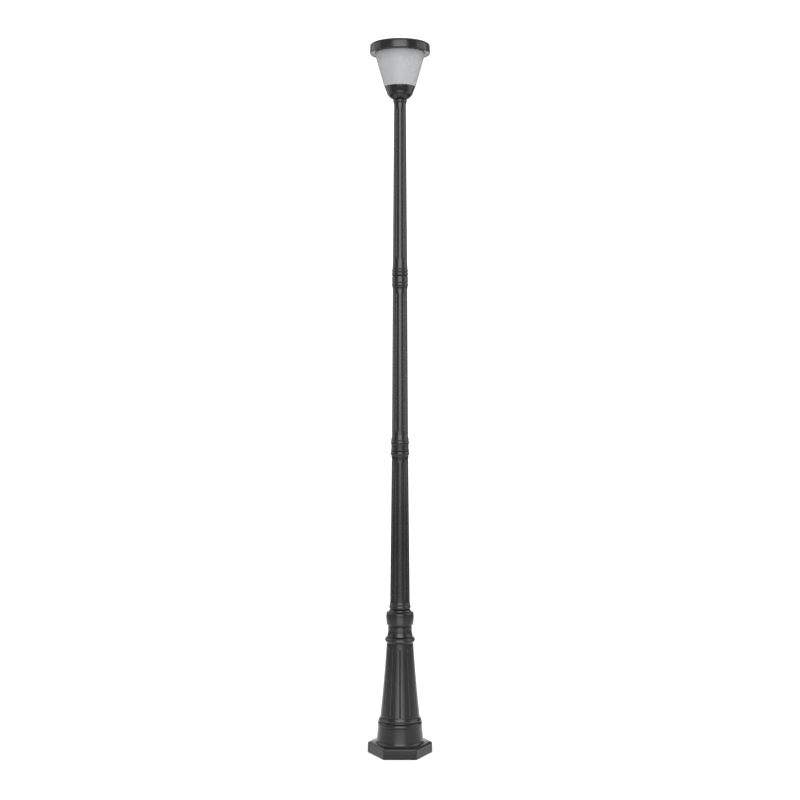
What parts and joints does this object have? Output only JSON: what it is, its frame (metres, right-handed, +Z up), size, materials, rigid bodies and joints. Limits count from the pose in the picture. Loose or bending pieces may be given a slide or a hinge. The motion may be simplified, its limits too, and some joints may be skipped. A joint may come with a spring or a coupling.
{
  "type": "street lamp post",
  "caption": "Tall black lamp post with a hexagonal foot, grooved pedestal, fluted shaft with ringed joints and a frosted tapered shade under a flat round lift-off solar cap",
  "frame": {"origin": "on the ground, on the post's vertical axis", "axes": "+Z up along the post; a flat side of the hexagonal foot faces -Y; +X points at a corner of the hexagonal foot"},
  "size_m": [0.226, 0.2128, 2.479],
  "materials": {
    "powder_coat": "satin black powder coat over cast aluminium",
    "zinc_steel": "zinc-plated steel",
    "black_screw": "black oxide steel",
    "small_screw": "nickel-plated steel",
    "seal_rubber": "matte black rubber",
    "pale_silicone": "pale grey silicone rubber",
    "frosted_shade": "frosted white acrylic",
    "cap_casing": "satin black plastic",
    "tray_plastic": "matte white plastic",
    "holder_plastic": "matte black plastic",
    "lens_plastic": "opal plastic",
    "white_board": "white solder mask on laminate",
    "green_board": "green solder mask on laminate",
    "led_chip": "phosphor over white package",
    "silicon": "dark blue silicon",
    "panel_glass": "clear low-iron glass",
    "battery_wrap": "blue shrink wrap",
    "contact_metal": "nickel-plated spring contact",
    "component_black": "black moulded packages",
    "lead_insulation": "red insulation",
    "spring_steel": "bright spring steel",
    "button_plastic": "gloss black plastic"
  },
  "bodies": {
    "post": {"base_foot": "powder_coat", "pedestal": "powder_coat", "tie_rod": "zinc_steel", "tie_washer": "zinc_steel", "tie_nut": "zinc_steel", "foot_nipple": "zinc_steel", "lower_shaft": "powder_coat", "lower_nipple": "zinc_steel", "middle_shaft": "powder_coat", "upper_nipple": "zinc_steel", "upper_shaft": "powder_coat", "joint_set_screws": "black_screw", "head_nipple": "zinc_steel", "cup": "powder_coat", "cup_washer": "zinc_steel", "cup_nut": "zinc_steel", "seat_gasket": "seal_rubber", "shade": "frosted_shade", "shade_washer": "zinc_steel", "shade_nut": "zinc_steel"},
    "solar_cap": {"cap_housing": "cap_casing", "cap_bezel": "cap_casing", "cap_gasket": "pale_silicone", "panel_seal": "seal_rubber", "panel_board": "white_board", "solar_cells": "silicon", "panel_glass": "panel_glass", "electronics_tray": "tray_plastic", "tray_screws": "small_screw", "led_board": "white_board", "leds": "led_chip", "led_lens": "lens_plastic", "lens_screws": "small_screw", "battery_holder": "holder_plastic", "battery_cells": "battery_wrap", "battery_contacts": "contact_metal", "control_board": "green_board", "board_screws": "small_screw", "board_parts": "component_black", "internal_leads": "lead_insulation", "switch_body": "component_black", "button_spring": "spring_steel"},
    "mode_button": {"mode_button": "button_plastic"}
  },
  "joints": [
    {"name": "cap_lift", "type": "slide", "parent": "post", "child": "solar_cap", "axis": [0, 0, 1], "range_m": [0, 0.08]},
    {"name": "mode_button_press", "type": "slide", "parent": "solar_cap", "child": "mode_button", "axis": [0, 0, 1], "range_m": [0, 0.002], "stiffness_N_per_m": 1000, "springref_m": -0.001, "deforming": ["button_spring"]}
  ]
}
